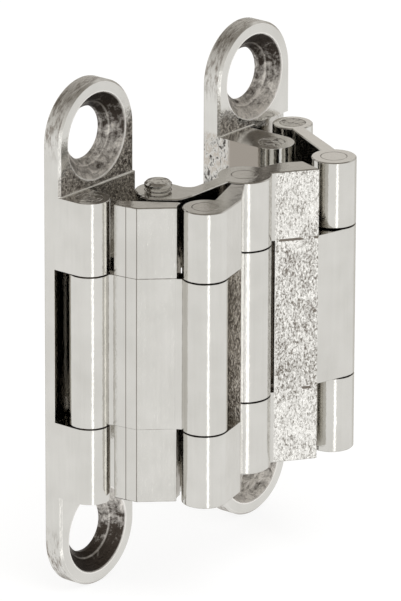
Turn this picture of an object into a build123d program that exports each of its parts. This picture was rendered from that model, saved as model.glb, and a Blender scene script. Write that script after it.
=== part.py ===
from build123d import *
import os

os.makedirs("parts", exist_ok=True)

# A small concealed hinge with seven pivots, fully opened. Two screwed leaves are joined by two
# crossing arms, and two short links keep the arms in step. Sizes are in millimetres.
# Frame: the origin is the centre of the left leaf's mounting face. X runs across the leaves, the
# links stand out of the leaf faces toward -Y, and Z runs along the pins.

# Leaves
leaf_width = 10.0
leaf_length = 46.4
leaf_thickness = 1.9
leaf_gap = 11.8  # between the two leaves when the hinge is fully open
body_height = 27.6  # the part of a leaf that carries its knuckles
body_step = 0.12  # how far that part stands proud of the screw tabs
screw_bore_radius = 2.375
countersink_radius = 3.9
countersink_angle = 90
leaf_edge = 0.2

# Pivots, out of a leaf's front face
outer_pivot_rise = 1.8
inner_pivot_rise = 4.35
front_pivot_rise = 10.45
front_pivot_spread = 8.95  # from the middle plane of the hinge
centre_pivot_rise = 7.6

# Knuckles
outer_knuckle_radius = 1.8
knuckle_radius = 2.0
centre_knuckle_radius = 2.4
link_inset = 0.3  # how far the arms and links end short of the body
tongue_height = 13.95  # the middle knuckle of each pivot; two fork knuckles share the rest
tongue_lift = 0.165  # how far the middle knuckles sit above mid-height
right_link_lift = 0.445  # and how far those sit that turn in the right link
layer_gap = 0.15
end_edge = 0.08  # round the top and bottom of the arms and links

# Pins
pin_radius = 1.2
pin_clearance = 0.04  # in the knuckle that turns on the pin
pin_press = 0.01  # in the two knuckles that hold it
pin_chamfer = 0.08
proud_height = 0.8  # how far the left inner pin stands out of its arm
proud_neck_radius = 1.0  # below that pin's flattened head
proud_neck_height = 0.35
proud_chamfer = 0.2

# The two front pivots float, which lets both crossing arms turn at one steady ratio: the pin has
# a slim neck to one side of its centre, and the knuckle around it has a wide bore
float_bore_radius = 1.48
float_neck_radius = 0.45
float_neck_offset = 0.72
left_neck_angle = 200.5
right_neck_angle = -11

# Short links: a waist between two knuckles. Its flanks are drawn through points that are given
# along the line of its two pins and off it. The left link's front flank is bowed in three flats.
left_waist_front = ((2.15, 0.45), (3.3, 0.95), (4.3, 1.33), (7.55, 0.65))
left_waist_back = ((2.05, -0.55), (7.4, -0.9))
right_waist_front = ((2.3, 0.52), (7.55, 0.82))
right_waist_back = ((3.3, -0.67), (7.05, -0.51))
waist_step = 0.05  # how far the waist stands back outside the knuckles' layer
waist_clearance = 0.45

# Crossing arms: a gooseneck from the inner knuckle to the centre, then a block to the far knuckle
heel_reach = 2.45  # from the inner pivot to the heel's outer flank
heel_front = (1.1, 3.1)  # the heel's two corners, out from the inner pivot
heel_slope = 1.5
neck_front = 0.1  # the gooseneck's front flank, out from the centre pivot
neck_thickness = 1.35
neck_round = 0.9
block_root_front = (1.85, 1.5)  # from the centre pivot
block_root_back = (2.3, -0.3)
block_bend = (-4.4, -2.55)  # from the far pivot
far_root_back = (2.3, 0.45)  # where the far knuckle's layer clears the other arm's gooseneck
far_tip_back = (-2.05, -0.6)
block_tip_front = (-3.55, 1.15)
block_tip_back = (-2.8, -1.25)
shoulder = (-0.5, 1.93)  # where the far knuckle's layer slopes on to, from the block's tip
shoulder_round = 0.5
centre_clearance = 0.35

# The recess in a leaf behind the knuckle of its short link
recess_width = 5.0
recess_clearance = 0.65

# Heights and places that follow
link_height = body_height - 2 * link_inset
link_top = link_height / 2
body_top = body_height / 2
head_foot = link_top + proud_neck_height
screw_height = (leaf_length - leaf_width) / 2
middle = leaf_width + leaf_gap / 2

outer_pivot = (outer_knuckle_radius, outer_pivot_rise)
inner_pivot = (leaf_width - knuckle_radius, inner_pivot_rise)
front_pivot = (middle - front_pivot_spread, front_pivot_rise)
centre_pivot = (middle, centre_pivot_rise)
far_pivot = (middle + front_pivot_spread, front_pivot_rise)



def tongue_slab(lift, growth):
    """The foot and top of a tongue whose seams are lifted, grown by half a gap at each end."""
    half_height = (tongue_height + growth) / 2
    return (lift - half_height, lift + half_height)


def past(slab, top):
    """The two slabs below and above a slab, as far as a height from mid-height."""
    return [(-top, slab[0]), (slab[1], top)]


# Layers of the stack, each a list of slabs from foot to top. A tongue turns in the slot between
# the two knuckles of a fork, and the right link's tongues sit a little higher than the others.
whole = [(-link_top, link_top)]
tongue = [tongue_slab(tongue_lift, -layer_gap)]
slot = [tongue_slab(tongue_lift, layer_gap)]
fork = past(slot[0], link_top)
body_fork = past(slot[0], body_top)
high_tongue = [tongue_slab(right_link_lift, -layer_gap)]
high_slot = [tongue_slab(right_link_lift, layer_gap)]
high_fork = past(high_slot[0], link_top)
past_high_tongue = past(high_tongue[0], body_top)

# Every profile is drawn once, from the leaf's outer front edge: x inward and y out of the leaf.
# The left side's plane faces down and the right side's faces up, so the right pieces mirror the
# left ones, with forks and tongues changed over.
left_side = Plane(
    origin=(-leaf_width / 2, -leaf_thickness, 0), x_dir=(1, 0, 0), z_dir=(0, 0, -1)
)
right_side = Plane(
    origin=(2 * middle - leaf_width / 2, -leaf_thickness, 0), x_dir=(-1, 0, 0), z_dir=(0, 0, 1)
)


def moved(point, offset):
    return (point[0] + offset[0], point[1] + offset[1])


def in_layer(side, layer, draw, mode=Mode.ADD):
    """Extrude a drawn profile through each slab of a layer."""
    upward = side.z_dir.Z
    for foot, top in layer:
        with BuildSketch(side.offset(upward * foot)) as profile:
            draw()
        extrude(profile.sketch, amount=upward * (top - foot), mode=mode)


def break_ends():
    """Break the edges round the top and bottom of the piece that is being built."""
    for end in (0, -1):
        level = faces().filter_by(Axis.Z).group_by(Axis.Z)[end]
        chamfer(level.edges(), end_edge)


def draw_outline(points, radii=0, mode=Mode.ADD):
    with BuildLine() as flanks:
        FilletPolyline(*points, radius=radii, close=True)
    make_face(flanks.line, mode=mode)


def draw_circle(pivot, radius, mode=Mode.ADD):
    with Locations(pivot):
        Circle(radius, mode=mode)


def cut_bore(side, layer, pivot, radius):
    in_layer(side, layer, lambda: draw_circle(pivot, radius), mode=Mode.SUBTRACT)


def hold_pin(side, layer, pivot):
    cut_bore(side, layer, pivot, pin_radius - pin_press)


def turn_on_pin(side, layer, pivot):
    cut_bore(side, layer, pivot, pin_radius + pin_clearance)


# Leaves -------------------------------------------------------------------------------------


def add_plate(side):
    """The plate of a leaf, with a round screw tab at each end and a raised body between them."""
    centre = side.from_local_coords((leaf_width / 2, -leaf_thickness, 0))
    back = Plane(origin=centre, x_dir=(1, 0, 0), z_dir=(0, -1, 0))
    with BuildSketch(back) as plate:
        SlotOverall(leaf_length, leaf_width, rotation=90)
    extrude(plate.sketch, amount=leaf_thickness)
    faces_along_y = faces().sort_by(Axis.Y)
    chamfer(faces_along_y[0].edges() + faces_along_y[-1].edges(), leaf_edge)
    with BuildSketch(back.offset(leaf_thickness - leaf_edge)) as body:
        Rectangle(leaf_width, body_height)
    extrude(body.sketch, amount=leaf_edge + body_step)
    with Locations(back.offset(leaf_thickness)):
        with Locations((0, screw_height), (0, -screw_height)):
            CounterSinkHole(
                screw_bore_radius,
                countersink_radius,
                counter_sink_angle=countersink_angle,
            )


def draw_outer_lug():
    """A knuckle whose outer flank is flush with the edge of the leaf."""
    foot = leaf_edge - leaf_thickness
    draw_outline(
        [
            (0, foot),
            (2 * outer_knuckle_radius, foot),
            (2 * outer_knuckle_radius, outer_pivot_rise),
            (0, outer_pivot_rise),
        ]
    )
    draw_circle(outer_pivot, outer_knuckle_radius)


def draw_inner_lug():
    """A knuckle on a web whose inner flank is flush with the edge of the leaf."""
    foot = leaf_edge - leaf_thickness
    web_edge = leaf_width - 2 * knuckle_radius
    draw_outline(
        [
            (web_edge, foot),
            (leaf_width, foot),
            (leaf_width, inner_pivot_rise),
            (web_edge, inner_pivot_rise),
        ]
    )
    draw_circle(inner_pivot, knuckle_radius)


def draw_recess():
    """The hollow that the short link's knuckle turns in."""
    floor = outer_pivot_rise - outer_knuckle_radius - recess_clearance
    draw_outline(
        [
            (0, floor),
            (recess_width, floor),
            (recess_width, leaf_thickness),
            (0, leaf_thickness),
        ],
    )


with BuildPart() as left_leaf:
    add_plate(left_side)
    in_layer(left_side, slot, draw_recess, mode=Mode.SUBTRACT)
    in_layer(left_side, body_fork, draw_outer_lug)
    in_layer(left_side, tongue, draw_inner_lug)
    hold_pin(left_side, body_fork, outer_pivot)
    turn_on_pin(left_side, tongue, inner_pivot)

with BuildPart() as right_leaf:
    add_plate(right_side)
    in_layer(right_side, past_high_tongue, draw_recess, mode=Mode.SUBTRACT)
    in_layer(right_side, high_tongue, draw_outer_lug)
    in_layer(right_side, body_fork, draw_inner_lug)
    turn_on_pin(right_side, high_tongue, outer_pivot)
    hold_pin(right_side, body_fork, inner_pivot)


# Short links --------------------------------------------------------------------------------

link_line = Vector(*front_pivot) - Vector(*outer_pivot)


def on_link(along, off):
    """A point of a short link, along and off the line from its outer pin to its front pin."""
    forward = link_line.normalized()
    sideways = Vector(-forward.Y, forward.X)
    point = Vector(*outer_pivot) + forward * along + sideways * off
    return (point.X, point.Y)


def draw_waist(front, back):
    """Both flanks, carried on to the pins at their end points' distances off the line."""
    end = link_line.length
    flanks = [(0, front[0][1]), *front, (end, front[-1][1])]
    flanks += [(end, back[-1][1]), *reversed(back), (0, back[0][1])]
    draw_outline([on_link(*point) for point in flanks])


def add_link(side, layer, front, back):
    """Two knuckles in one layer, and a waist that runs through every layer between them."""

    def draw_knuckles():
        draw_waist(front, back)
        draw_circle(outer_pivot, outer_knuckle_radius)
        draw_circle(front_pivot, knuckle_radius)

    def draw_clear_waist():
        draw_waist([(along, off - waist_step) for along, off in front], back)
        draw_circle(outer_pivot, outer_knuckle_radius + waist_clearance, mode=Mode.SUBTRACT)
        draw_circle(front_pivot, knuckle_radius + waist_clearance, mode=Mode.SUBTRACT)

    in_layer(side, layer, draw_knuckles)
    in_layer(side, whole, draw_clear_waist)
    break_ends()


with BuildPart() as left_link:
    add_link(left_side, tongue, left_waist_front, left_waist_back)
    turn_on_pin(left_side, tongue, outer_pivot)
    cut_bore(left_side, tongue, front_pivot, float_bore_radius)

with BuildPart() as right_link:
    add_link(right_side, high_fork, right_waist_front, right_waist_back)
    hold_pin(right_side, high_fork, outer_pivot)
    hold_pin(right_side, high_fork, front_pivot)


# Crossing arms ------------------------------------------------------------------------------

block_root = [moved(centre_pivot, block_root_back), moved(centre_pivot, block_root_front)]
block_tip = [moved(far_pivot, block_tip_front), moved(far_pivot, block_tip_back)]
block_back = moved(far_pivot, block_bend)


def draw_block():
    draw_outline([centre_pivot, block_root[1], *block_tip, block_back, block_root[0]])


def draw_shoulder(mode=Mode.ADD):
    """The block's longer form, which reaches the far knuckle in that knuckle's own layer."""
    points = [centre_pivot, block_root[1], block_tip[0], moved(far_pivot, shoulder), far_pivot]
    points += [moved(far_pivot, far_tip_back), moved(centre_pivot, far_root_back)]
    draw_outline(points, [0, 0, shoulder_round, 0, 0, 0, 0], mode=mode)


def draw_core():
    """The part of the block that runs through every layer."""
    draw_block()
    draw_shoulder(mode=Mode.INTERSECT)
    draw_circle(centre_pivot, centre_knuckle_radius + centre_clearance, mode=Mode.SUBTRACT)


def draw_near_end():
    """The inner knuckle, the gooseneck, the centre knuckle and the block behind it."""
    heel_x = inner_pivot[0] - heel_reach
    inner_flank = inner_pivot[0] + knuckle_radius
    front_y = centre_pivot[1] + neck_front
    back_y = front_y - neck_thickness
    points = [
        inner_pivot,
        (heel_x, inner_pivot[1]),
        (heel_x, inner_pivot[1] + heel_front[0]),
        (heel_x + heel_slope, inner_pivot[1] + heel_front[1]),
        (heel_x + 2 * heel_slope, front_y),
        (centre_pivot[0], front_y),
        (centre_pivot[0], back_y),
        (inner_flank, back_y - neck_front),
        (inner_flank, inner_pivot[1]),
    ]
    radii = [0, 0, neck_round, neck_round, 0, 0, 0, neck_round, 0]
    draw_outline(points, radii)
    draw_circle(inner_pivot, knuckle_radius)
    draw_circle(centre_pivot, centre_knuckle_radius)
    draw_block()


def draw_far_end():
    """The block's shoulder and the far knuckle, clear of the other arm's centre knuckle."""
    draw_shoulder()
    draw_circle(far_pivot, knuckle_radius)
    draw_circle(centre_pivot, centre_knuckle_radius + centre_clearance, mode=Mode.SUBTRACT)


with BuildPart() as left_crossing_arm:
    in_layer(left_side, fork, draw_near_end)
    in_layer(left_side, high_tongue, draw_far_end)
    in_layer(left_side, whole, draw_core)
    break_ends()
    hold_pin(left_side, fork, inner_pivot)
    hold_pin(left_side, fork, centre_pivot)
    cut_bore(left_side, high_tongue, far_pivot, float_bore_radius)

with BuildPart() as right_crossing_arm:
    in_layer(right_side, tongue, draw_near_end)
    in_layer(right_side, fork, draw_far_end)
    in_layer(right_side, whole, draw_core)
    break_ends()
    turn_on_pin(right_side, tongue, inner_pivot)
    turn_on_pin(right_side, tongue, centre_pivot)
    hold_pin(right_side, fork, far_pivot)


# Pins ---------------------------------------------------------------------------------------


def add_pin(side, pivot, height):
    """A pin as long as the knuckles that hold it, with both ends chamfered."""
    foot = side.from_local_coords((*pivot, 0)) - Vector(0, 0, height / 2)
    with BuildSketch(Plane(origin=foot)) as section:
        Circle(pin_radius)
    extrude(section.sketch, amount=height)
    chamfer(edges().filter_by(GeomType.CIRCLE), pin_chamfer)


def slim_neck(side, layer, pivot, angle):
    """Cut the middle of a pin down to a slim neck, to one side of the pin's centre."""
    offset = Vector(float_neck_offset, 0).rotate(Axis.Z, angle)

    def draw_ring():
        draw_circle(pivot, 2 * pin_radius)
        draw_circle(moved(pivot, (offset.X, offset.Y)), float_neck_radius, mode=Mode.SUBTRACT)

    in_layer(side, layer, draw_ring, mode=Mode.SUBTRACT)


with BuildPart() as left_outer_pin:
    add_pin(left_side, outer_pivot, body_height)

with BuildPart() as left_inner_pin:
    add_pin(left_side, inner_pivot, link_height)
    in_layer(
        left_side, [(link_top, head_foot)], lambda: draw_circle(inner_pivot, proud_neck_radius)
    )
    in_layer(
        left_side,
        [(head_foot, link_top + proud_height)],
        lambda: draw_circle(inner_pivot, pin_radius),
    )
    chamfer(edges().group_by(Axis.Z)[-1], proud_chamfer)

with BuildPart() as left_front_pin:
    add_pin(left_side, front_pivot, link_height)
    slim_neck(left_side, slot, front_pivot, left_neck_angle)

with BuildPart() as centre_pin:
    add_pin(left_side, centre_pivot, link_height)

with BuildPart() as right_front_pin:
    add_pin(right_side, front_pivot, link_height)
    slim_neck(right_side, high_slot, front_pivot, right_neck_angle)

with BuildPart() as right_inner_pin:
    add_pin(right_side, inner_pivot, body_height)

with BuildPart() as right_outer_pin:
    add_pin(right_side, outer_pivot, link_height)


pieces = {
    "left_leaf": left_leaf,
    "right_leaf": right_leaf,
    "left_crossing_arm": left_crossing_arm,
    "right_crossing_arm": right_crossing_arm,
    "left_link": left_link,
    "right_link": right_link,
    "left_outer_pin": left_outer_pin,
    "left_inner_pin": left_inner_pin,
    "left_front_pin": left_front_pin,
    "centre_pin": centre_pin,
    "right_front_pin": right_front_pin,
    "right_inner_pin": right_inner_pin,
    "right_outer_pin": right_outer_pin,
}
for name, piece in pieces.items():
    piece.part.label = name
    export_step(piece.part, f"parts/{name}.step")
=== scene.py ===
# %% [markdown]
# # A seven-pivot concealed hinge in plated zinc
# The hinge is thirteen pieces: two leaves that screw to the wood, two crossing arms, two short
# links and seven pins. Their shapes come from model.glb. This lesson gives them their finish, then
# lights them as a small metal part on a pale table.
# The meshes stay as they come. Everything below is shaders, light and a camera, so the work is
# in finding out why each face of a plated casting looks the way it does.

import math

import bpy
from mathutils import Matrix, Vector


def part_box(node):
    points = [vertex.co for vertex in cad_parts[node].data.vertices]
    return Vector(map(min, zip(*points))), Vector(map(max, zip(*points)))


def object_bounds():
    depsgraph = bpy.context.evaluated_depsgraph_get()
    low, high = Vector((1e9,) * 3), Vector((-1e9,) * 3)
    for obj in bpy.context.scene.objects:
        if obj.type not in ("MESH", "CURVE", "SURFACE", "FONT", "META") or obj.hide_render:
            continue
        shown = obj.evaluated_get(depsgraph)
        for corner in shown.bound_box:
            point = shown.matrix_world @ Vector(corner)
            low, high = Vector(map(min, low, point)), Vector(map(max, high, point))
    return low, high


MM = 0.001

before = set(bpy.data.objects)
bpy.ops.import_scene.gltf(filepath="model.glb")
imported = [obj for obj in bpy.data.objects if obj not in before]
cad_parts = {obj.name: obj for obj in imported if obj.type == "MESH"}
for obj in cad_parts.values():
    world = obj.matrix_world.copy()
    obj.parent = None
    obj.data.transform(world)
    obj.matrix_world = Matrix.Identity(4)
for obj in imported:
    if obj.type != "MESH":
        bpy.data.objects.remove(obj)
cad_low, cad_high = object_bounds()
print("pieces:", len(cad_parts))
print("size in mm:", [round(side / MM, 1) for side in cad_high - cad_low])

# %% [markdown]
# ## Colours and nodes
# Colours are written as the sRGB hex values that a person picks from a chart. The shaders work
# with linear light, so one function turns a hex value into linear red, green and blue. One more
# function adds a node, sets it up, links it and gives back the output that the next node needs,
# so that a material reads from top to bottom.


# %% Colours
def linear(hex_value):
    """The linear RGBA of an sRGB hex value such as "d0cec8"."""
    shades = [int(hex_value[i : i + 2], 16) / 255 for i in (0, 2, 4)]
    return [s / 12.92 if s <= 0.04045 else ((s + 0.055) / 1.055) ** 2.4 for s in shades] + [1.0]


print("half grey in linear light:", round(linear("808080")[0], 3))

# %% Nodes
# These are the sockets that a Mix node has for its two colours and for the result.
FIRST, SECOND, MIXED = 6, 7, 2
SOFT = "SMOOTHSTEP"


def empty_tree(owner):
    """The node tree of a material or a world, with nothing in it."""
    owner.use_nodes = True
    owner.node_tree.nodes.clear()
    return owner.node_tree


def add_node(tree, kind, inputs=None, output=0, **settings):
    """Add a node and give back one output. An input is another node's output or a plain value."""
    node = tree.nodes.new("ShaderNode" + kind)
    for name, setting in settings.items():
        setattr(node, name, setting)
    for socket, value in (inputs or {}).items():
        if isinstance(value, bpy.types.NodeSocket):
            tree.links.new(value, node.inputs[socket])
        else:
            node.inputs[socket].default_value = value
    return node.outputs[output] if node.outputs else None


# %% [markdown]
# ## Nickel plate on a zinc die casting
# The castings are zinc, tumbled and then plated with bright nickel. Nickel is a warm, slightly
# yellow grey metal, and a bright plate is nearly a mirror: a flat face takes the even grey of
# the room, and a round knuckle squeezes the whole room into a few upright bands. The plate
# keeps the waviness of the casting below it, so those bands wander a little.
# A metallic shader with a low roughness gives the mirror. The waves could be modelled, but they
# are far shallower than a face of the mesh is wide, so bumps do it: slow waves, short ripples,
# the lines that tumbling drew, and a fine grain. The noises behind them stay near 0.5, so a
# range such as 0.4 to 0.6 picks their low and high spots.

# %% Colours of the plate
NICKEL = "dad8d3"
NICKEL_DEEP = "c6c4be"
plate_roughness = 0.08
roughness_of_grain = 0.06
lines_share = 0.35
cloud_range = (0.1, 1.15)
print("nickel in linear light:", [round(part, 3) for part in linear(NICKEL)[:3]])

# %% Sizes of the plate's patterns
# Real lines and grain measure a few hundredths of a millimetre. They would be too fine to show,
# so both are drawn as coarse as it takes.
wave_size = 3.0 * MM
wave_height = 0.03 * MM
ripple_size = 0.5 * MM
ripple_height = 0.010 * MM
line_size = 0.35 * MM
line_height = 0.0016 * MM
grain_size = 0.12 * MM
grain_height = 0.006 * MM
print("waves lean by about, in degrees:", round(math.degrees(wave_height / wave_size), 2))


# %% Waves, lines and grain
# A lay squeezes the place along an axis, which draws a noise out into lines that way.
ALONG_PINS = (1, 1, 0.04)


def plate_patterns(tree, place, lay):
    """Three noises: slow waves, lines along the lay, and a fine grain."""
    wave = add_node(tree, "TexNoise", {"Vector": place, "Scale": 1 / wave_size})
    drawn = add_node(tree, "VectorMath", {0: place, 1: lay}, operation="MULTIPLY")
    lines = add_node(tree, "TexNoise", {"Vector": drawn, "Scale": 1 / line_size, "Detail": 2.0})
    grain = add_node(tree, "TexNoise", {"Vector": place, "Scale": 1 / grain_size, "Detail": 3.0})
    return wave, lines, grain


def clouded_nickel(tree, wave, lines, pale):
    """The colour of the plate: a little deeper where it is thin, in clouds and faint lines."""
    clouds = {0: lines, 1: lines_share, 2: wave}
    clouds = add_node(tree, "Math", clouds, operation="MULTIPLY_ADD")
    start, full = cloud_range
    clouds = add_node(tree, "MapRange", {"Value": clouds, "From Min": start, "From Max": full})
    shade = {0: clouds, FIRST: linear(NICKEL_DEEP), SECOND: linear(pale)}
    return add_node(tree, "Mix", shade, MIXED, data_type="RGBA")


def wavy_normal(tree, place, normal, wave, lines, grain):
    """The normal of a plate that follows the waves of the casting under it."""
    ripple = add_node(tree, "TexNoise", {"Vector": place, "Scale": 1 / ripple_size})
    swells = ((wave, wave_height), (ripple, ripple_height))
    for height, size in (*swells, (lines, line_height), (grain, grain_height)):
        normal = add_node(tree, "Bump", {"Height": height, "Distance": size, "Normal": normal})
    return normal


# %% [markdown]
# ## Edges and corners
# Tumbling rounds every edge. An edge shows as a thin broken line, painted dark as shade on most
# pieces and painted bright as a highlight on the leaves. Corners that are closed in get painted
# shade.
# The edges could be bevelled in the mesh, but the meshes are kept. A bevel normal rounds them in
# the shader instead, and the same normal finds the painted edge line: it is where the rounded
# normal and the flat one part. Ambient occlusion finds the corners for the painted shade.

# %% Colours and sizes of edges and corners
# Painted shade for the edges of most pieces.
EDGE_SHADE = "6b635b"
# Painted shade for closed-in corners, also the colour of the flanks' streaks.
CORNER_SHADE_AND_STREAKS = "857d74"
edge_round = 0.06 * MM
edge_break_size = 0.6 * MM
edge_break_range = (0.42, 0.58)
least_edge_paint, most_edge_paint = 0.2, 0.8
corner_shade_reach = 1.8 * MM
corner_shade_range = (0.55, 0.05)
corner_shade_cover = 0.8
# A dot product of the two normals: the painted edge line starts at 2 degrees and is full at 10.
edge_line_start, edge_line_full = 0.9992, 0.985
print("rub starts at", round(math.degrees(math.acos(edge_line_start)), 1), "degrees")


# %% Painted edge lines and painted corner shade
def painted_edge_lines(tree, place, shade, normal, edge):
    """Bring the edge's colour in, broken up, where the bevel bends the normal: painted shade on
    most pieces, a painted highlight on the leaves.
    """
    flat = add_node(tree, "NewGeometry", output="Normal")
    bend = add_node(tree, "VectorMath", {0: normal, 1: flat}, "Value", operation="DOT_PRODUCT")
    edge_breaks = add_node(tree, "TexNoise", {"Vector": place, "Scale": 1 / edge_break_size, "Detail": 3.0})
    start, full = edge_break_range
    edge_breaks = {"Value": edge_breaks, "From Min": start, "From Max": full}
    edge_breaks = add_node(tree, "MapRange", {**edge_breaks, "To Min": least_edge_paint, "To Max": most_edge_paint})
    edge_line = {"Value": bend, "From Min": edge_line_start, "From Max": edge_line_full, "To Max": edge_breaks}
    edge_line = add_node(tree, "MapRange", edge_line)
    mix = {0: edge_line, FIRST: shade, SECOND: linear(edge)}
    return add_node(tree, "Mix", mix, MIXED, data_type="RGBA")


def painted_corner_shade(tree, shade):
    """Paint shade in where the surface is closed in."""
    openness = add_node(tree, "AmbientOcclusion", {"Distance": corner_shade_reach}, "AO", samples=6)
    start, full = corner_shade_range
    corner_shade = {"Value": openness, "From Min": start, "From Max": full, "To Max": corner_shade_cover}
    corner_shade = add_node(tree, "MapRange", corner_shade, interpolation_type=SOFT)
    mix = {0: corner_shade, FIRST: shade, SECOND: linear(CORNER_SHADE_AND_STREAKS)}
    return add_node(tree, "Mix", mix, MIXED, data_type="RGBA")


# %% [markdown]
# ## The plate put together
# Every piece wears the same plate, and each has flaws of its own: a face left as cast, a dull
# countersink, a riveted end. A flaw is written as a skin, which is a function that takes the
# shade, the normal and the roughness so far and gives them back changed. Some skins paint shade,
# reflections and highlights too. The plate takes a list of skins, lays them over the metal one
# after another, and puts the painted shade in the corners on last.
# Each piece could have a material of its own from the start, but then every change of the plate
# would have to be made nine times.


# %% The plate put together
def plated_metal(name, pale=NICKEL, edge=EDGE_SHADE, lay=ALONG_PINS, skins=()):
    """Bright nickel plate over metal, with skins for the flaws of one piece."""
    material = bpy.data.materials.new(name)
    tree = empty_tree(material)
    place = add_node(tree, "TexCoord", output="Object")
    wave, lines, grain = plate_patterns(tree, place, lay)
    shade = clouded_nickel(tree, wave, lines, pale)
    normal = add_node(tree, "Bevel", {"Radius": edge_round}, samples=6)
    shade = painted_edge_lines(tree, place, shade, normal, edge)
    normal = wavy_normal(tree, place, normal, wave, lines, grain)
    gloss = {0: grain, 1: roughness_of_grain, 2: plate_roughness}
    roughness = add_node(tree, "Math", gloss, operation="MULTIPLY_ADD")
    for skin in skins:
        shade, normal, roughness = skin(tree, place, shade, normal, roughness)
    shade = painted_corner_shade(tree, shade)
    values = {"Base Color": shade, "Roughness": roughness, "Normal": normal, "Metallic": 1.0}
    surface = add_node(tree, "BsdfPrincipled", values)
    add_node(tree, "OutputMaterial", {"Surface": surface})
    return material


# %% [markdown]
# ## A patch of a face
# Most flaws sit on one face, and often on a part of it. A vertex group or a painted mask would
# mark such a patch, but the mesh is kept plain. So the shader asks two things: whether the
# surface points the way that face does, and whether the spot lies between two distances along a
# direction. Each answer is a soft step, and each step passes the one before it on.
# Two smaller masks come along: one for the faces that point roughly one way, and one for a thin
# line where a distance is just so.

# %% A patch of a face
patch_fade = 0.4 * MM
# How closely the surface has to point the face's way, as a dot product.
facing_start, facing_full = 0.985, 0.995
print("a face may lean by", round(math.degrees(math.acos(facing_full)), 1), "degrees")


def patch(tree, place, facing, limits):
    """A mask of a face that points one way, between two distances along each direction."""
    true_normal = add_node(tree, "TexCoord", output="Normal")
    steps = [(true_normal, facing, facing_start, facing_full)]
    for direction, near, far in limits:
        steps.append((place, direction, near, near + patch_fade))
        steps.append((place, direction, far, far - patch_fade))
    mask = 1.0
    for vector, direction, start, full in steps:
        lean = {0: vector, 1: direction}
        lean = add_node(tree, "VectorMath", lean, "Value", operation="DOT_PRODUCT")
        inside = {"Value": lean, "From Min": start, "From Max": full, "To Max": mask}
        mask = add_node(tree, "MapRange", inside, interpolation_type=SOFT)
    return mask


# %% Rough facings and thin lines
roughly_facing = (0.6, 0.8)
print("a rough facing is within", round(math.degrees(math.acos(roughly_facing[1]))), "degrees")


def facing_mask(tree, facing, fade, most=1.0):
    """A mask of the faces that point one way. It fades between two dot products."""
    true_normal = add_node(tree, "TexCoord", output="Normal")
    lean = {0: true_normal, 1: facing}
    lean = add_node(tree, "VectorMath", lean, "Value", operation="DOT_PRODUCT")
    start, full = fade
    lean = {"Value": lean, "From Min": start, "From Max": full, "To Max": most}
    return add_node(tree, "MapRange", lean)


def thin_line(tree, distance, at, fade, most=1.0):
    """A mask of a thin line where a distance is close to a value."""
    near = add_node(tree, "Math", {0: distance, 1: at}, operation="SUBTRACT")
    near = add_node(tree, "Math", {0: near}, operation="ABSOLUTE")
    start, full = fade
    near = {"Value": near, "From Min": start, "From Max": full, "To Max": most}
    return add_node(tree, "MapRange", near)


# %% A patch painted with light or shade
def painted_light_patch(facing, limits, colour):
    """A skin that only changes the colour of a patch, to paint light or shade on it."""

    def skin(tree, place, shade, normal, roughness):
        mix = {0: patch(tree, place, facing, limits), FIRST: shade, SECOND: linear(colour)}
        return add_node(tree, "Mix", mix, MIXED, data_type="RGBA"), normal, roughness

    return skin


# %% [markdown]
# ## The face left as cast
# The front of the left arm's block was never tumbled smooth. Molten zinc froze against a coarse
# die there, so the plate over it is a field of bright grains with pits between them, painted dark
# as shade, on lumps of about a millimetre. Two broken painted shadow lines cross it at two
# heights.
# The face could be shaped with displacement, but it is flat to a tenth of a millimetre, so a
# strong bump does it, and the same noise that lifts the grains also colours them.

# %% Colours and sizes of a cast face
# Painted shade for the pits.
PIT_SHADE = "736c64"
GRAIN = "efede8"
cast_grain_size = 0.17 * MM
cast_grain_height = 0.08 * MM
lump_size = 1.4 * MM
lump_height = 0.12 * MM
# Painted shadow lines lie at these heights.
shadow_line_heights = (7.2 * MM, -6.7 * MM)
shadow_line_fade = (0.13 * MM, 0.07 * MM)
shadow_line_depth = -0.7
shadow_line_breaks = (0.49, 0.53)
lumps_share = 0.3
pit_shade_range = (0.66, 0.48)
grain_range = (0.62, 0.78)
# The grains are taller than wide, and there are more pits in the middle of the face than at
# its ends, which start this far from the middle.
TALL_GRAINS = (1, 1, 0.6)
ends_start, ends_full = 6 * MM, 8 * MM
middle_shift, ends_shift = -0.02, 0.03
print("grains across a lump:", round(lump_size / cast_grain_size))


# %% The middle and the painted shadow lines of a cast face
def darker_middle(tree, uneven, height):
    """Shift the pattern toward pits in the middle of the face, and toward grains at its ends."""
    from_middle = add_node(tree, "Math", {0: height}, operation="ABSOLUTE")
    shift = {"Value": from_middle, "From Min": ends_start, "From Max": ends_full}
    shift = add_node(tree, "MapRange", {**shift, "To Min": middle_shift, "To Max": ends_shift})
    return add_node(tree, "Math", {0: uneven, 1: shift}, operation="ADD")


def with_shadow_lines(tree, uneven, height, lumps, shadow_lines):
    """Cut painted shadow lines into the pattern at some heights, broken where the lumps are low.
    """
    for shadow_height in shadow_lines:
        shadow_line = thin_line(tree, height, shadow_height, shadow_line_fade, shadow_line_depth)
        start, full = shadow_line_breaks
        broken = {"Value": lumps, "From Min": start, "From Max": full, "To Max": shadow_line}
        broken = add_node(tree, "MapRange", broken)
        uneven = add_node(tree, "Math", {0: uneven, 1: broken}, operation="ADD")
    return uneven


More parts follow.
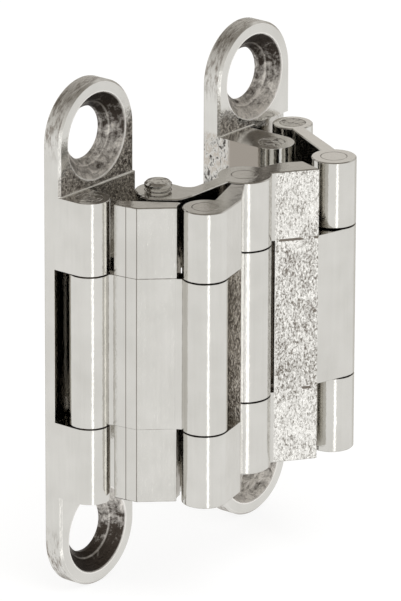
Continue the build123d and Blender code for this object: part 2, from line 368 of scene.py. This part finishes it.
# %% The face left as cast
def cast_face(facing, limits, pit_shade=PIT_SHADE, pale=GRAIN, shadow_lines=(), size=cast_grain_size):
    """A skin of grains and pits for a patch, with the pits painted dark as shade and broken
    painted shadow lines at some heights.
    """

    def skin(tree, place, shade, normal, roughness):
        mask = patch(tree, place, facing, limits)
        tall = add_node(tree, "VectorMath", {0: place, 1: TALL_GRAINS}, operation="MULTIPLY")
        grain = {"Vector": tall, "Scale": 1 / size, "Detail": 3.0, "Roughness": 0.6}
        grain = add_node(tree, "TexNoise", {**grain, "Distortion": 0.8})
        lumps = {"Vector": place, "Scale": 1 / lump_size, "Detail": 3.0}
        lumps = add_node(tree, "TexNoise", lumps)
        for pattern, depth in ((lumps, lump_height), (grain, cast_grain_height)):
            bump = {"Height": pattern, "Distance": depth, "Strength": mask, "Normal": normal}
            normal = add_node(tree, "Bump", bump)
        uneven = {0: lumps, 1: lumps_share, 2: grain}
        uneven = add_node(tree, "Math", uneven, operation="MULTIPLY_ADD")
        height = add_node(tree, "SeparateXYZ", {0: place}, "Z")
        uneven = darker_middle(tree, uneven, height)
        uneven = with_shadow_lines(tree, uneven, height, lumps, shadow_lines)
        for colour, (start, full) in ((pit_shade, pit_shade_range), (pale, grain_range)):
            spots = {"Value": uneven, "From Min": start, "From Max": full, "To Max": mask}
            spots = add_node(tree, "MapRange", spots, interpolation_type=SOFT)
            mix = {0: spots, FIRST: shade, SECOND: linear(colour)}
            shade = add_node(tree, "Mix", mix, MIXED, data_type="RGBA")
        return shade, normal, roughness

    return skin


# %% [markdown]
# ## Lines where the left link is folded
# The front of the left link is three flats at small angles to each other. Each of the two lines
# where they meet gets a fine painted shade line from top to bottom.
# The bend is too small for the painted edge lines above, and grooves of a tenth of a millimetre
# would change the mesh. So this skin paints the shade lines at their distance along the link.

# %% Lines where the left link is folded
link_along = Vector((0.512, -0.859, 0))
link_facing = Vector((-0.859, -0.512, 0))
# Painted shade lines lie at these distances along the link.
fold_places = (4.84 * MM, 5.84 * MM)
fold_shade_fade = (0.06 * MM, 0.03 * MM)
fold_shade_cover = 0.7
print("middle flat in mm:", round((fold_places[1] - fold_places[0]) / MM, 2))


def fold_shade_lines(tree, place, shade, normal, roughness):
    """A skin for the painted shade lines in which the left link's flats meet."""
    faced = facing_mask(tree, link_facing, roughly_facing)
    along = {0: place, 1: link_along}
    along = add_node(tree, "VectorMath", along, "Value", operation="DOT_PRODUCT")
    for fold_place in fold_places:
        fold_shade = thin_line(tree, along, fold_place, fold_shade_fade, faced)
        fold_shade = add_node(tree, "Math", {0: fold_shade, 1: fold_shade_cover}, operation="MULTIPLY")
        mix = {0: fold_shade, FIRST: shade, SECOND: linear(EDGE_SHADE)}
        shade = add_node(tree, "Mix", mix, MIXED, data_type="RGBA")
    return shade, normal, roughness


# %% [markdown]
# ## Finding places on a leaf
# The leaves are the pieces with the most flaws: stained countersinks, dark feet where the tabs
# meet the raised body, and streaked flanks. Most of them sit at the same places on both leaves
# and at both ends, so they are found by two distances: how far a spot lies from the middle of
# the hinge across the leaves, and how far along them. The sizes come from the leaf's own box.

# %% Finding places on a leaf
leaf_low, leaf_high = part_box("left_leaf")
leaf_width = leaf_high.x - leaf_low.x
middle = (cad_low.x + cad_high.x) / 2
screw_height = (leaf_high.z - leaf_low.z - leaf_width) / 2
body_half = 13.8 * MM
# The upper and the lower half of a leaf change over within this much of its middle.
half_fade = 1 * MM
print("screws in mm from the middle:", round(screw_height / MM, 2))
print("tab in mm:", round((leaf_high.z - body_half) / MM, 2))


def across_leaves(tree, place):
    """How far a spot is from the middle of the hinge, across the leaves."""
    across = add_node(tree, "SeparateXYZ", {0: place}, "X")
    across = add_node(tree, "Math", {0: across, 1: middle}, operation="SUBTRACT")
    return add_node(tree, "Math", {0: across}, operation="ABSOLUTE")


def along_leaves(tree, place):
    """How far a spot is from the middle of the hinge, along the leaves."""
    along = add_node(tree, "SeparateXYZ", {0: place}, "Z")
    return add_node(tree, "Math", {0: along}, operation="ABSOLUTE")


# %% [markdown]
# ## Countersinks
# The countersinks were cut after casting, and their rough surface took the plate badly. They are
# dull and brown grey, stained in blotches, with rings that the cutter left. One ring and the rim
# get a painted highlight.
# A painted image could carry all that, but a turned surface is simpler to draw from the distance
# to its axis. A noise of that distance alone makes the rings, and a second noise makes the
# A painted reflection drifts the stains between dark and pale along the leaf, and each tab has its
# own drift.

# %% Colours and sizes of a countersink
CUT_DARK = "453e38"
CUT_PALE = "e6e1da"
# A painted highlight for the leaves' edges and the countersinks' rims.
LEAF_EDGE_HIGHLIGHT = "ece9e4"
countersink_edge = 0.39 * leaf_width
# A painted highlight ring lies at this radius.
highlight_ring = 2.85 * MM
highlight_ring_fade = (0.09 * MM, 0.02 * MM)
rim_fade = (0.12 * MM, 0.04 * MM)
ring_size = 0.2 * MM
stain_size = MM / 1.3
rings_share = 0.14
stain_range = (0.50, 0.78)
cut_height = 0.14 * MM
cut_roughness = 0.18
print("countersink radius in mm:", round(countersink_edge / MM, 2))


# %% Distances from a screw
def screw_distance(tree, place):
    """How far a spot is from its screw's axis, and how far out along the leaf from the screw."""
    # The frame's zero lies between the left leaf's screws, so every screw is `middle` away from
    # the hinge's middle.
    across = {0: across_leaves(tree, place), 1: middle}
    across = add_node(tree, "Math", across, operation="SUBTRACT")
    along = {0: along_leaves(tree, place), 1: screw_height}
    along = add_node(tree, "Math", along, operation="SUBTRACT")
    from_axis = add_node(tree, "CombineXYZ", {0: across, 1: along})
    radius = add_node(tree, "VectorMath", {0: from_axis}, "Value", operation="LENGTH")
    return radius, along


# %% Stains
def stained_cut(tree, place, radius):
    """The uneven height of a countersink, and the blotches in it."""
    rings = {"W": radius, "Scale": 1 / ring_size, "Detail": 2.0}
    rings = add_node(tree, "TexNoise", rings, noise_dimensions="1D")
    blotch = {"Vector": place, "Scale": 1 / stain_size, "Detail": 6.0, "Roughness": 0.78}
    blotch = add_node(tree, "TexNoise", {**blotch, "Distortion": 0.4})
    height = {0: rings, 1: rings_share, 2: blotch}
    height = add_node(tree, "Math", height, operation="MULTIPLY_ADD")
    return height, blotch


def stains_with_painted_drift(tree, place, along, height, upper, lower):
    """How pale a spot is: its stains, plus a painted reflection that changes along the leaf by so
    much per metre in each tab.
    """
    upright = add_node(tree, "SeparateXYZ", {0: place}, "Z")
    drift = {"Value": upright, "From Min": -half_fade, "From Max": half_fade}
    drift = add_node(tree, "MapRange", {**drift, "To Min": lower, "To Max": upper})
    stain_and_reflection = {0: along, 1: drift, 2: height}
    stain_and_reflection = add_node(tree, "Math", stain_and_reflection, operation="MULTIPLY_ADD")
    start, full = stain_range
    return add_node(tree, "MapRange", {"Value": stain_and_reflection, "From Min": start, "From Max": full})


# %% Countersinks
# The fronts of the leaves face outward, and only their flat backs face the other way.
OUTWARD = Vector((0, -1, 0))
all_but_the_back = (-0.9, -0.5)


def turned_cut(upper, lower):
    """A skin for a leaf's countersinks, with a painted reflection and painted highlights. Upper
    and lower say how each gets paler outwards.
    """

    def skin(tree, place, shade, normal, roughness):
        radius, along = screw_distance(tree, place)
        front = facing_mask(tree, OUTWARD, all_but_the_back)
        inside = {"Value": radius, "From Max": countersink_edge, "To Max": front}
        mask = add_node(tree, "MapRange", {**inside, "From Min": countersink_edge * 1.01})
        height, blotch = stained_cut(tree, place, radius)
        bump = {"Height": height, "Distance": cut_height, "Strength": mask, "Normal": normal}
        normal = add_node(tree, "Bump", bump)
        pale = stains_with_painted_drift(tree, place, along, height, upper, lower)
        # A painted highlight on one ring and on the rim.
        line = thin_line(tree, radius, highlight_ring, highlight_ring_fade)
        line = add_node(tree, "Math", {0: line, 1: blotch}, operation="MULTIPLY")
        pale = add_node(tree, "Math", {0: pale, 1: line}, operation="ADD", use_clamp=True)
        mix = {0: pale, FIRST: linear(CUT_DARK), SECOND: linear(CUT_PALE)}
        patch_colour = add_node(tree, "Mix", mix, MIXED, data_type="RGBA")
        mix = {0: mask, FIRST: shade, SECOND: patch_colour}
        shade = add_node(tree, "Mix", mix, MIXED, data_type="RGBA")
        rim_highlight = thin_line(tree, radius, countersink_edge, rim_fade, front)
        mix = {0: rim_highlight, FIRST: shade, SECOND: linear(LEAF_EDGE_HIGHLIGHT)}
        shade = add_node(tree, "Mix", mix, MIXED, data_type="RGBA")
        rougher = {0: mask, 1: cut_roughness, 2: roughness}
        roughness = add_node(tree, "Math", rougher, operation="MULTIPLY_ADD")
        return shade, normal, roughness

    return skin


# %% [markdown]
# ## Flanks of the tabs
# The round ends of the tabs were trimmed in a press, which tore the metal a little. The tear
# shows as dark streaks that run round the flank. They are too shallow to model, so a noise that
# is stretched that way draws them, and only the faces that look sideways get them.

# %% Flanks of the tabs
streak_size = 0.32 * MM
streak_height = 0.05 * MM
streak_range = (0.54, 0.36)
looks_sideways = (0.6, 0.4)
ROUND_FLANK = (0.3, 1, 0.3)
# The streaks come in from a little before the screw to a little beyond it.
streaks_start, streaks_full = screw_height - 1.5 * MM, screw_height + 1 * MM
print("streaks start in mm from the middle:", round(streaks_start / MM, 2))


def streaked_flank(tree, place, shade, normal, roughness):
    """A skin of dark streaks that run round the flank of a tab."""
    along = along_leaves(tree, place)
    true_normal = add_node(tree, "TexCoord", output="Normal")
    sideways = add_node(tree, "SeparateXYZ", {0: true_normal}, "Y")
    sideways = add_node(tree, "Math", {0: sideways}, operation="ABSOLUTE")
    start, full = looks_sideways
    mask = add_node(tree, "MapRange", {"Value": sideways, "From Min": start, "From Max": full})
    beyond = {"Value": along, "From Min": streaks_start, "From Max": streaks_full}
    mask = add_node(tree, "MapRange", {**beyond, "To Max": mask})
    drawn = add_node(tree, "VectorMath", {0: place, 1: ROUND_FLANK}, operation="MULTIPLY")
    streaks = {"Vector": drawn, "Scale": 1 / streak_size, "Detail": 5.0, "Roughness": 0.7}
    streaks = add_node(tree, "TexNoise", streaks)
    bump = {"Height": streaks, "Distance": streak_height, "Strength": mask, "Normal": normal}
    normal = add_node(tree, "Bump", bump)
    start, full = streak_range
    dark = {"Value": streaks, "From Min": start, "From Max": full, "To Max": mask}
    dark = add_node(tree, "MapRange", dark)
    mix = {0: dark, FIRST: shade, SECOND: linear(CORNER_SHADE_AND_STREAKS)}
    return add_node(tree, "Mix", mix, MIXED, data_type="RGBA"), normal, roughness


# %% [markdown]
# ## Feet of the upper tabs
# The foot of each upper tab, next to the raised body, is painted dark and grainy, a painted dark
# reflection. The dark reaches furthest at the leaf's inner edge and fades out in a ragged slope.
# The step is kept out of it, so it stays a bright line.
# A dark decal would end in a clean line, so the mask is built from the leaf's own sizes, step by
# step: the ragged slope, the faces that look forward, the heights from a little way down the
# body, the upper tab alone, and at last nothing on the knuckles and the bright line.

# %% Colours and sizes of a foot
# The foot's dark is a painted reflection.
FOOT_DARK_REFLECTION = "463e37"
FOOT_PALE = "cdc7be"
foot_grain_size = 0.22 * MM
foot_grain_height = 0.10 * MM
foot_grain_range = (0.40, 0.66)
rag_size = 1.5 * MM
rag_reach = 5 * MM
foot_fade = 1.2 * MM
step_line_fade = (0.12 * MM, 0.07 * MM)
# The tab's face lies deeper than this, and the body's knuckles stand further out.
tab_face_depth = (-2.3 * MM, -2.1 * MM)
print("rags per tab:", round(leaf_width / rag_size, 1))


# %% Where a foot lies
def foot_mask(tree, place, reach, slope, down):
    """A mask of a foot: reach above the body, a slope across the leaf, and a way down the body."""
    across, along = across_leaves(tree, place), along_leaves(tree, place)
    ragged = {"Vector": place, "Scale": 1 / rag_size, "Detail": 4.0, "Roughness": 0.7}
    ragged = add_node(tree, "TexNoise", ragged)
    inner = add_node(tree, "Math", {0: across, 1: slope, 2: along}, operation="MULTIPLY_ADD")
    uneven = {0: ragged, 1: rag_reach, 2: inner}
    uneven = add_node(tree, "Math", uneven, operation="MULTIPLY_ADD")
    top = body_half + reach + slope * (middle - leaf_high.x) + rag_reach / 2
    mask = {"Value": uneven, "From Min": top, "From Max": top - foot_fade}
    mask = add_node(tree, "MapRange", mask, interpolation_type=SOFT)
    mask = facing_mask(tree, OUTWARD, roughly_facing, mask)
    raised = {"Value": along, "From Min": body_half - down, "From Max": body_half - down / 2}
    mask = add_node(tree, "MapRange", {**raised, "To Max": mask})
    upright = add_node(tree, "SeparateXYZ", {0: place}, "Z")
    upper = {"Value": upright, "From Min": -half_fade, "From Max": half_fade, "To Max": mask}
    return add_node(tree, "MapRange", upper), along


# %% Off the knuckles and the step
def without_step(tree, place, mask, along):
    """Keep a foot off the body's knuckles, and off the bright line at the step."""
    depth = add_node(tree, "SeparateXYZ", {0: place}, "Y")
    start, full = tab_face_depth
    near_plate = {"Value": depth, "From Min": start, "From Max": full, "To Max": mask}
    mask = add_node(tree, "MapRange", near_plate)
    step = thin_line(tree, along, body_half, step_line_fade)
    return add_node(tree, "Math", {0: mask, 1: step}, operation="SUBTRACT", use_clamp=True)


# %% Feet of the upper tabs
def painted_dark_foot(reach, slope, down):
    """A skin of painted dark reflection, with a grain, for the foot of an upper tab."""

    def skin(tree, place, shade, normal, roughness):
        mask, along = foot_mask(tree, place, reach, slope, down)
        mask = without_step(tree, place, mask, along)
        grain = {"Vector": place, "Scale": 1 / foot_grain_size, "Detail": 4.0, "Roughness": 0.7}
        grain = add_node(tree, "TexNoise", grain)
        bump = {"Height": grain, "Distance": foot_grain_height, "Strength": mask}
        normal = add_node(tree, "Bump", {**bump, "Normal": normal})
        start, full = foot_grain_range
        pale = add_node(tree, "MapRange", {"Value": grain, "From Min": start, "From Max": full})
        mix = {0: pale, FIRST: linear(FOOT_DARK_REFLECTION), SECOND: linear(FOOT_PALE)}
        patch_colour = add_node(tree, "Mix", mix, MIXED, data_type="RGBA")
        mix = {0: mask, FIRST: shade, SECOND: patch_colour}
        shade = add_node(tree, "Mix", mix, MIXED, data_type="RGBA")
        return shade, normal, roughness

    return skin


# %% [markdown]
# ## Pins
# The pins are steel wire, plated like the rest. Four of them were riveted over, and their ends
# carry the dents of the punch, painted dark as shade in the dents. The other three were only
# ground flush. Each dent could be pressed into the mesh, but a coarse noise on the faces that look
# up or down makes them all.

# %% Ends of the pins
STEEL = "d5d2cc"
# Painted shade for the dents.
DENT_SHADE = "595149"
dent_size = 0.7 * MM
dent_height = 0.10 * MM
dent_shade_range = (0.50, 0.40)
dent_shade_cover = 0.8
looks_up_or_down = (0.6, 0.9)
print("dent in mm:", round(dent_size / MM, 2))


def riveted_end(tree, place, shade, normal, roughness):
    """A skin for the ends of a pin that was riveted over, with painted shade in the dents."""
    true_normal = add_node(tree, "TexCoord", output="Normal")
    upright = add_node(tree, "SeparateXYZ", {0: true_normal}, "Z")
    upright = add_node(tree, "Math", {0: upright}, operation="ABSOLUTE")
    start, full = looks_up_or_down
    mask = add_node(tree, "MapRange", {"Value": upright, "From Min": start, "From Max": full})
    dents = {"Vector": place, "Scale": 1 / dent_size, "Detail": 3.0, "Distortion": 0.8}
    dents = add_node(tree, "TexNoise", dents)
    bump = {"Height": dents, "Distance": dent_height, "Strength": mask, "Normal": normal}
    normal = add_node(tree, "Bump", bump)
    start, full = dent_shade_range
    dark = {"Value": dents, "From Min": start, "From Max": full, "To Max": mask}
    dark = add_node(tree, "MapRange", dark, interpolation_type=SOFT)
    dark = add_node(tree, "Math", {0: dark, 1: dent_shade_cover}, operation="MULTIPLY")
    mix = {0: dark, FIRST: shade, SECOND: linear(DENT_SHADE)}
    return add_node(tree, "Mix", mix, MIXED, data_type="RGBA"), normal, roughness


# %% [markdown]
# ## Which patch lies where
# The block stands on the left arm, and the heel is the part of the right arm that shows in the gap
# beside the left link; it is painted grey as shade in that gap. The web carries the right leaf's
# inner knuckle. It was torn from the die at its root, next to the plate, and further out it is
# painted brown as a dark reflection. The tops of the right link and its front pin are painted
# brighter than the rest, a painted reflection.

# %% Colours of the patches
# The heel is painted shade, the web a painted dark reflection, the bright top a painted
# reflection; the pits are painted shade.
HEEL_SHADE = "aea79e"
HEEL_PIT_SHADE = "6a625a"
HEEL_GRAIN = "d2ccc3"
ROOT_PIT_SHADE = "3d3731"
ROOT_GRAIN = "bdb6ad"
WEB_REFLECTION = "9d968d"
BRIGHT_TOP_REFLECTION = "f4f2ee"
root_grain_size = 0.34 * MM
print("the root's grain is", round(root_grain_size / cast_grain_size, 1), "times the block's")

# %% Where the patches lie
UP = Vector((0, 0, 1))
INWARD = Vector((-1, 0, 0))
block_facing = Vector((-0.576, -0.818, 0))
along_block = Vector((0.818, -0.576, 0))
heel_facing = Vector((-0.954, -0.300, 0))
block_part = [(along_block, 17.0 * MM, 21.6 * MM)]
heel_part = [(UP, -7 * MM, 7.2 * MM)]
web_heights = (UP, 8.5 * MM, 14.2 * MM)
root_part = [web_heights, (OUTWARD, -1 * MM, 3.3 * MM)]
web_part = [web_heights, (OUTWARD, 2.8 * MM, 12 * MM)]
top_part = [(UP, 0, 20 * MM)]
block_near, block_far = block_part[0][1:]
print("block front in mm:", round((block_far - block_near) / MM, 1))

# %% Skins for the castings
# A drift says by how much a countersink's painted reflection gets paler for each metre outwards.
block_front = cast_face(block_facing, block_part, shadow_lines=shadow_line_heights)
# Painted shade on the heel in its gap.
heel = painted_light_patch(heel_facing, heel_part, HEEL_SHADE)
heel_grain = cast_face(heel_facing, heel_part, HEEL_PIT_SHADE, HEEL_GRAIN)
root = cast_face(INWARD, root_part, ROOT_PIT_SHADE, ROOT_GRAIN, size=root_grain_size)
# A painted dark reflection on the web, and a painted bright reflection on the tops.
web_reflection = painted_light_patch(INWARD, web_part, WEB_REFLECTION)
painted_bright_top = painted_light_patch(UP, top_part, BRIGHT_TOP_REFLECTION)
left_reach, right_reach = 6.2 * MM, 2.6 * MM
left_foot = painted_dark_foot(left_reach, slope=0.38, down=5 * MM)
right_foot = painted_dark_foot(right_reach, slope=0.35, down=1 * MM)
left_cuts = turned_cut(upper=-0.035 / MM, lower=-0.065 / MM)
right_cuts = turned_cut(upper=-0.05 / MM, lower=0.05 / MM)
tab = leaf_high.z - body_half
print("share of a tab under its foot:", round(left_reach / tab, 2), round(right_reach / tab, 2))

# %% [markdown]
# ## Finishes on the castings
# Each casting has its own list of skins over the same plate. The leaves' edges get a painted
# highlight rather than painted shade, and their faint lines run round the flank, the way they were
# trimmed. On the arms and links the lines run along the pins, the way the tumbled castings slid
# past each other.

# %% Finishes on the castings
ALONG_FLANK = (0.06, 1, 0.06)
castings = {
    # Rims with a painted highlight round dull brown cuts with a painted reflection, streaked
    # flanks, and a painted dark reflection on the foot that climbs the tab.
    "left_leaf": ("worn left leaf", [streaked_flank, left_foot, left_cuts]),
    # The same with a low foot, a web painted brown as a dark reflection, and a torn root with pits
    # painted dark as shade.
    "right_leaf": ("worn right leaf", [streaked_flank, root, web_reflection, right_foot, right_cuts]),
    # A field of bright grains and pits painted dark as shade, crossed by two broken painted shadow
    # lines.
    "left_crossing_arm": ("front left as cast", [block_front]),
    # A mottled strip, painted grey as shade in its gap, between bright plated edges.
    "right_crossing_arm": ("rough heel", [heel, heel_grain]),
    # Mirror flats that part along two fine painted shade lines.
    "left_link": ("fold lines", [fold_shade_lines]),
    # A top painted white as a reflection, where the other tops mirror the grey overhead.
    "right_link": ("painted bright top", [painted_bright_top]),
}
for name, (flaw, skins) in castings.items():
    # The leaves' edges get a painted highlight instead of painted shade.
    options = {"edge": LEAF_EDGE_HIGHLIGHT, "lay": ALONG_FLANK} if name.endswith("_leaf") else {}
    material = plated_metal("nickel plated zinc, " + flaw, skins=skins, **options)
    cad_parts[name].material_slots[0].material = material
    print(name, "wears", material.name, "of", len(material.node_tree.nodes), "nodes")

# %% Finishes on the pins
# Ground flush: an even grey disc in each knuckle.
flush = plated_metal("nickel plated steel pin, ground flush", STEEL)
# Painted bright: a disc painted as white as the link's top round it, a painted reflection.
bright = plated_metal("nickel plated steel pin, painted bright", STEEL, skins=[painted_bright_top])
# Riveted over: a disc that is dented, painted dark as shade in the dents and bright between them.
riveted = plated_metal("nickel plated steel pin, riveted over", STEEL, skins=[riveted_end])
ends = {"centre_pin": flush, "left_front_pin": flush, "right_front_pin": bright}
for name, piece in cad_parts.items():
    if name.endswith("_pin"):
        piece.material_slots[0].material = ends.get(name, riveted)
        print(name, "wears", piece.material_slots[0].material.name)

# %% [markdown]
# ## The view and the table
# The hinge stands a hair above a table of white paper. Paper is matt, so it takes a soft shadow.
# Part of it also glows to the eye, as white as the room behind, so the table has no far edge and
# no more light falls on the hinge. Rays from a mirror or through glass are given the same glow.
# The plated pieces don't show the table at all. It would put one hard bright band along the foot
# of each of them, so the table is hidden from glossy rays and the drawn room shows there.

# %% The view
view_azimuth = math.radians(-51.12)
view_elevation = math.radians(19.58)
view_roll = math.radians(-0.206)


def level(azimuth):
    """The level direction that lies at this angle round the hinge."""
    return Vector((math.sin(azimuth), -math.cos(azimuth), 0))


print("the view rises by", round(math.degrees(view_elevation), 1), "degrees")

# %% The table
table_half = 3.0
table_height = cad_low.z - 0.02 * MM
corners = [(-1, -1), (1, -1), (1, 1), (-1, 1)]
corners = [(x * table_half, y * table_half, table_height) for x, y in corners]
mesh = bpy.data.meshes.new("table")
mesh.from_pydata(corners, [], [(0, 1, 2, 3)])
table = bpy.data.objects.new("table", mesh)
bpy.context.scene.collection.objects.link(table)
table.visible_glossy = False
print("table height in mm:", round(table_height / MM, 2))

# %% White paper
# White paper: matt and even, with a soft grey shadow where the hinge stands.
PAPER = "f4f4f4"
paper_glow = 1.14
paper_glow_share = 0.75
paper = bpy.data.materials.new("white paper table")
tree = empty_tree(paper)
path = add_node(tree, "LightPath").node.outputs
seen = {0: path["Is Camera Ray"], 1: path["Is Glossy Ray"]}
seen = add_node(tree, "Math", seen, operation="MAXIMUM")
seen = add_node(tree, "Math", {0: seen, 1: path["Is Transmission Ray"]}, operation="MAXIMUM")
matt = add_node(tree, "BsdfDiffuse", {"Color": linear(PAPER)})
white = add_node(tree, "Emission", {"Strength": paper_glow})
lift = add_node(tree, "Math", {0: seen, 1: paper_glow_share}, operation="MULTIPLY")
mixed = add_node(tree, "MixShader", {0: lift, 1: matt, 2: white})
add_node(tree, "OutputMaterial", {"Surface": mixed})
mesh.materials.append(paper)
print(paper.name, "has", len(tree.nodes), "nodes")

# %% [markdown]
# ## The studio
# A small metal part shows the room around it rather than its own colour, so the room is drawn
# like a picture, in the world's own shader. It is white in front. Behind and above it is grey,
# with vague darker and paler places, so the faces that look up and the edges that curve away are
# darker than the faces that look forward. Straight overhead it is darker again.
# A slim lamp low in front puts the bright line down each knuckle. It could be a real lamp, but a
# lamp that is drawn in the room keeps its edges exactly where they are wanted.

# %% The studio's colours
FRONT = "ffffff"
BACK_DARK = "a29d96"
BACK_PALE = "e0ddd8"
OVERHEAD = "918c85"
above_share = 0.6
lamp_azimuth = math.radians(-33.5)
lamp_half_width = 0.092
lamp_strength = 2.1
print("lamp width in degrees:", round(2 * math.degrees(math.asin(lamp_half_width)), 1))

# %% Directions in the studio
world = bpy.data.worlds.new("studio")
bpy.context.scene.world = world
tree = empty_tree(world)
direction = add_node(tree, "TexCoord", output="Generated")


def toward(vector, start, full):
    """A soft step from 0 to 1 as the ray's lean toward a vector goes from start to full."""
    # A lean is 1 straight toward the vector, 0 square to it and -1 straight away from it.
    lean = {0: direction, 1: vector}
    lean = add_node(tree, "VectorMath", lean, "Value", operation="DOT_PRODUCT")
    step = {"Value": lean, "From Min": start, "From Max": full}
    return add_node(tree, "MapRange", step, interpolation_type=SOFT)


print("the lamp stands toward", [round(part, 2) for part in level(lamp_azimuth)])

# %% The room
behind = toward(-level(view_azimuth), 0.50, 0.85)
above = toward(UP, 0.0, 0.40)
above = add_node(tree, "Math", {0: above, 1: above_share}, operation="MULTIPLY")
grey = add_node(tree, "Math", {0: behind, 1: above}, operation="MAXIMUM")
vague = {"Vector": direction, "Scale": 7.0, "Detail": 4.0, "Roughness": 0.6}
vague = add_node(tree, "TexNoise", vague)
vague = add_node(tree, "MapRange", {"Value": vague, "From Min": 0.40, "From Max": 0.60})
back = {0: vague, FIRST: linear(BACK_DARK), SECOND: linear(BACK_PALE)}
back = add_node(tree, "Mix", back, MIXED, data_type="RGBA")
room = {0: grey, FIRST: linear(FRONT), SECOND: back}
room = add_node(tree, "Mix", room, MIXED, data_type="RGBA")
overhead = toward(UP, 0.55, 0.80)
room = {0: overhead, FIRST: room, SECOND: linear(OVERHEAD)}
room = add_node(tree, "Mix", room, MIXED, data_type="RGBA")
print("the room takes", len(tree.nodes), "nodes")

# %% The slim lamp
lamp = toward(level(lamp_azimuth), 0.0, 0.2)
low_down = toward(-UP, -0.2, 0.0)
lamp = add_node(tree, "Math", {0: lamp, 1: low_down}, operation="MULTIPLY")
not_steep = toward(-UP, 0.75, 0.55)
lamp = add_node(tree, "Math", {0: lamp, 1: not_steep}, operation="MULTIPLY")
for side in (-1, 1):
    lamp_edge = side * level(lamp_azimuth + math.pi / 2)
    slim = toward(lamp_edge, lamp_half_width, 0.6 * lamp_half_width)
    lamp = add_node(tree, "Math", {0: lamp, 1: slim}, operation="MULTIPLY")
strength = {0: lamp, 1: lamp_strength - 1, 2: 1.0}
strength = add_node(tree, "Math", strength, operation="MULTIPLY_ADD")
print("the lamp is", lamp_strength, "times as bright as the room")

# %% The white backdrop
# Seen directly the room is plain white, and everything else gets the drawn one.
studio = add_node(tree, "Background", {"Color": room, "Strength": strength})
backdrop = add_node(tree, "Background", {"Color": linear("ffffff")})
camera_ray = add_node(tree, "LightPath", output="Is Camera Ray")
chosen = add_node(tree, "MixShader", {0: camera_ray, 1: studio, 2: backdrop})
add_node(tree, "OutputWorld", {"Surface": chosen})
print("the studio takes", len(tree.nodes), "nodes")

# %% [markdown]
# ## The soft box
# The room alone would leave the table evenly lit, and the hinge would float. A large soft box
# overhead drops a faint shadow under it. A sun would do so too, but with a harder edge. The
# metal doesn't mirror the box, because its square would show as a white edge on every chamfer.

# %% The soft box
box_azimuth = math.radians(-20)
box_elevation = math.radians(65)
box_distance = 0.7
box_width = 0.5
box_strength = 3.0

box_data = bpy.data.lights.new("overhead_soft_box", "AREA")
box_data.shape, box_data.size = "SQUARE", box_width
# The strength is how bright the box looks, with white at 1. A lamp's energy follows from it.
box_data.energy = box_strength * math.pi * box_width**2
soft_box = bpy.data.objects.new("overhead_soft_box", box_data)
box_rise = Vector((0, 0, math.sin(box_elevation)))
box_away = level(box_azimuth) * math.cos(box_elevation) + box_rise
soft_box.location = (cad_low + cad_high) / 2 + box_away * box_distance
soft_box.rotation_euler = box_away.to_track_quat("Z", "Y").to_euler()
soft_box.visible_glossy = False
bpy.context.scene.collection.objects.link(soft_box)
print("soft box energy in watts:", round(box_data.energy, 2))

# %% [markdown]
# ## The camera
# A small part is best seen through a long lens from well back: the lines of the pins stay almost
# parallel, and no knuckle looks bigger than its neighbour. The camera looks a little down, far
# enough to show the tops of the pins and the gap between the arms.

# %% The camera
frame_height_px = 601
focal_length_px = 6811.67
sensor_width = 36.0
aim_point = Vector((3.724, -10.414, 4.069)) * MM
camera_distance = 588.8 * MM

rise = Vector((0, 0, math.sin(view_elevation)))
toward_camera = level(view_azimuth) * math.cos(view_elevation) + rise
level_right = Vector((math.cos(view_azimuth), math.sin(view_azimuth), 0))
level_up = toward_camera.cross(level_right)
camera_right = level_right * math.cos(view_roll) - level_up * math.sin(view_roll)
camera_up = level_right * math.sin(view_roll) + level_up * math.cos(view_roll)

camera_data = bpy.data.cameras.new("camera")
camera_data.lens = focal_length_px * sensor_width / frame_height_px
camera_data.sensor_width = sensor_width
camera_data.clip_start, camera_data.clip_end = 0.01, 20
camera = bpy.data.objects.new("camera", camera_data)
turned = Matrix((camera_right, camera_up, toward_camera)).transposed().to_4x4()
camera.matrix_world = Matrix.Translation(aim_point + toward_camera * camera_distance) @ turned
bpy.context.scene.collection.objects.link(camera)
bpy.context.scene.camera = camera
print("lens in mm:", round(camera_data.lens, 1))

# %% [markdown]
# ## The colours
# The colours go to the render unchanged.

# %% The colours
bpy.context.scene.view_settings.view_transform = "Standard"
